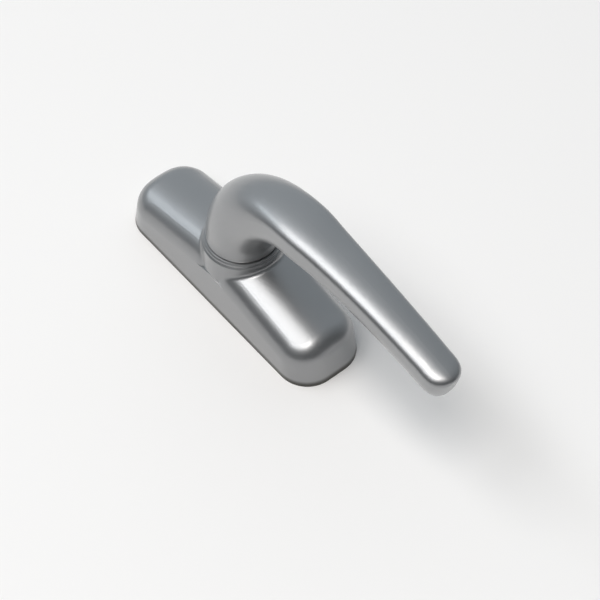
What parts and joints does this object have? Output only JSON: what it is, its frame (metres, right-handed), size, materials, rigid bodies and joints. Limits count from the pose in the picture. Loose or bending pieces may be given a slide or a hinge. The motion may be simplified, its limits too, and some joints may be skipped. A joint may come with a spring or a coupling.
{
  "type": "window handle",
  "caption": "Satin grey window handle: a tapering lever on a thick bent neck, turning on a long cast casing with sloping tops that hides a rack drive for the sash rods.",
  "frame": {"origin": "on the lever's axis, in the plane of the casing's back, which lies on the sash", "axes": "+X along the casing towards the tip of the closed lever, +Z out of the sash along the lever's axis"},
  "size_m": [0.1664, 0.032, 0.0734],
  "materials": {
    "satin_casting": "satin silver-grey, anodised or lacquered",
    "dark_acetal": "matte",
    "bright_steel": "machined",
    "zinced_steel": "zinc plated",
    "cast_zinc": "as cast"
  },
  "bodies": {
    "housing": {"casing": "satin_casting", "neck_ring": "satin_casting", "neck_bush": "dark_acetal", "thrust_ring": "dark_acetal", "back_plate": "zinced_steel", "plate_screws": "zinced_steel", "detent_ball_front": "bright_steel", "detent_ball_rear": "bright_steel", "detent_spring_front": "bright_steel", "detent_spring_rear": "bright_steel"},
    "handle": {"lever": "satin_casting", "spindle": "bright_steel", "pinion": "bright_steel", "detent_disc": "bright_steel", "lever_screw": "zinced_steel", "lock_washer": "zinced_steel"},
    "near_slider": {"rack_near": "cast_zinc"},
    "far_slider": {"rack_far": "cast_zinc"}
  },
  "joints": [
    {"name": "lever_turn", "type": "hinge", "parent": "housing", "child": "handle", "pos_m": [0, 0, 0], "axis": [0, 0, 1], "range_deg": [0, 90]},
    {"name": "near_slide", "type": "slide", "parent": "housing", "child": "near_slider", "axis": [1, 0, 0], "range_m": [0, 0.01257]},
    {"name": "far_slide", "type": "slide", "parent": "housing", "child": "far_slider", "axis": [-1, 0, 0], "range_m": [0, 0.01257]}
  ],
  "couplings": [
    {"joint": "near_slide", "follows": "lever_turn", "m_per_rad": 0.008},
    {"joint": "far_slide", "follows": "lever_turn", "m_per_rad": 0.008}
  ]
}
